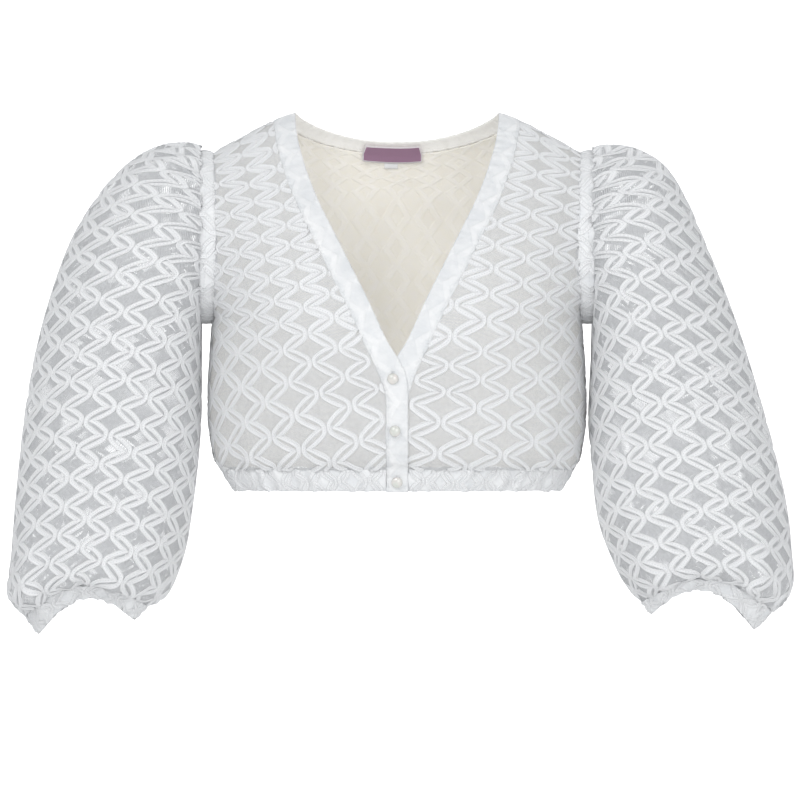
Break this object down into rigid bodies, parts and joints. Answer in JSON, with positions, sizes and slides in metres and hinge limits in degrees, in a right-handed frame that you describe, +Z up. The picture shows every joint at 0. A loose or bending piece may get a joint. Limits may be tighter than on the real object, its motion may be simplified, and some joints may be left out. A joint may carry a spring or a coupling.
{
  "type": "dirndl blouse",
  "caption": "Cropped white lace dirndl blouse, worn and hollow, with a V neck band and placket, pearl buttons, puff sleeves with gathered cuffs and an elastic hem casing.",
  "frame": {"origin": "midway between the neck points of the two shoulder seams, where the wearer's shoulders hold the blouse", "axes": "+Z up, +X towards the wearer's left sleeve, the front faces -Y"},
  "size_m": [0.785, 0.2636, 0.5199],
  "materials": {
    "lace": "white tape lace on fine net",
    "gathered_lace": "white lace gathered on elastic",
    "band": "white closely woven cotton band",
    "lining": "ivory cotton lining",
    "pearl": "pearly gloss",
    "label": "mauve woven label, bare",
    "size_tab": "white satin tab, bare"
  },
  "bodies": {
    "root": {"front_right": "lace", "front_left": "lace", "back": "lace", "back_lining": "lining", "neck_band_right": "band", "neck_band_left": "band", "neck_band_back": "band", "hem_casing": "gathered_lace", "sleeve_right": "lace", "sleeve_left": "lace", "cuff_right": "gathered_lace", "cuff_left": "gathered_lace", "armhole_binding_right": "band", "armhole_binding_left": "band", "button_top": "pearl", "button_middle": "pearl", "button_bottom": "pearl", "label": "label", "size_tab": "size_tab"}
  },
  "joints": []
}
